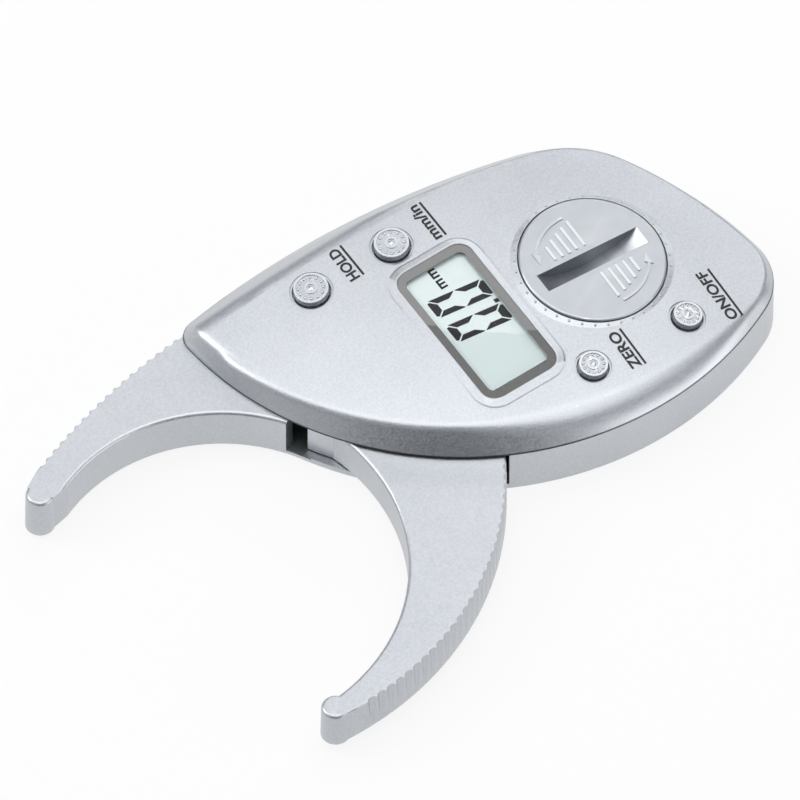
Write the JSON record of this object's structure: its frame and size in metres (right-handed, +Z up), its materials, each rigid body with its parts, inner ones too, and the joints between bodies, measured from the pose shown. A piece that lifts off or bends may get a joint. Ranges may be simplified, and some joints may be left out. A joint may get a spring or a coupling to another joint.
{
  "type": "skinfold caliper",
  "caption": "Digital skinfold caliper with a wedge-shaped domed case, display, push buttons, coin-slot battery cover, a fixed jaw and a spring-opened curved thumb jaw on a pivot",
  "frame": {"origin": "centre of the bounding box in plan, on the table under the case", "axes": "+X towards the jaws along the case's length, +Y towards the thumb jaw, +Z up out of the display"},
  "size_m": [0.1358, 0.087, 0.0194],
  "materials": {
    "silver_paint": "moulded plastic under fine-grained silver paint, satin",
    "button_paint": "moulded plastic under silver paint, satin",
    "cover_paint": "moulded plastic under silver paint, satin",
    "clear_lens": "clear polished plastic",
    "mask_print": "grey printed border",
    "lcd_glass": "pale green-grey liquid crystal glass",
    "seal_rubber": "black rubber",
    "cell_steel": "nickel-plated steel",
    "contact_steel": "nickel-plated spring steel",
    "pin_steel": "ground steel",
    "washer_plastic": "natural nylon",
    "spring_steel": "spring steel wire",
    "code_plastic": "dark film with fine code lines",
    "sensor_plastic": "black sensor package",
    "board_laminate": "green laminate",
    "blob_resin": "black resin",
    "ribbon_film": "amber film",
    "switch_metal": "spring steel dome on its base",
    "screw_steel": "zinc-plated steel"
  },
  "bodies": {
    "case": {"lower_case": "silver_paint", "upper_case": "silver_paint", "pivot_pin": "pin_steel", "thrust_washers": "washer_plastic", "return_spring": "spring_steel", "encoder_sensor": "sensor_plastic", "display_window": "clear_lens", "display_mask": "mask_print", "lcd_panel": "lcd_glass", "display_ribbon": "ribbon_film", "circuit_board": "board_laminate", "controller_blob": "blob_resin", "cover_seal": "seal_rubber", "coin_cell": "cell_steel", "contact_positive": "contact_steel", "contact_negative": "contact_steel", "case_screws": "screw_steel", "board_screws": "screw_steel", "hold_switch": "switch_metal", "unit_switch": "switch_metal", "zero_switch": "switch_metal", "power_switch": "switch_metal"},
    "jaw": {"moving_jaw": "silver_paint", "code_disc": "code_plastic"},
    "cover": {"battery_cover": "cover_paint"},
    "hold_key": {"hold_button": "button_paint"},
    "unit_key": {"unit_button": "button_paint"},
    "zero_key": {"zero_button": "button_paint"},
    "power_key": {"power_button": "button_paint"}
  },
  "joints": [
    {"name": "jaw_hinge", "type": "hinge", "parent": "case", "child": "jaw", "pos_m": [-0.00033, -0.00745, 0.006], "axis": [0, 0, -1], "range_deg": [0, 55.7], "stiffness_Nm_per_rad": 0.02, "springref_deg": -17.19, "deforming": ["return_spring"]},
    {"name": "hold_press", "type": "slide", "parent": "case", "child": "hold_key", "axis": [-0.1157, 0.0024, -0.9933], "range_m": [0, 0.0005], "stiffness_N_per_m": 600, "springref_m": -0.0005, "deforming": ["hold_switch"]},
    {"name": "unit_press", "type": "slide", "parent": "case", "child": "unit_key", "axis": [-0.0441, 0.001, -0.999], "range_m": [0, 0.0005], "stiffness_N_per_m": 600, "springref_m": -0.0005, "deforming": ["unit_switch"]},
    {"name": "zero_press", "type": "slide", "parent": "case", "child": "zero_key", "axis": [0.024, -0.1124, -0.9934], "range_m": [0, 0.0005], "stiffness_N_per_m": 600, "springref_m": -0.0005, "deforming": ["zero_switch"]},
    {"name": "power_press", "type": "slide", "parent": "case", "child": "power_key", "axis": [0.1117, -0.1111, -0.9875], "range_m": [0, 0.0005], "stiffness_N_per_m": 600, "springref_m": -0.0005, "deforming": ["power_switch"]},
    {"name": "cover_turn", "type": "hinge", "parent": "case", "child": "cover", "pos_m": [-0.03944, -0.00885, 0.01719], "axis": [-0.0769, 0.0601, 0.9952], "range_deg": [0, 30]}
  ]
}
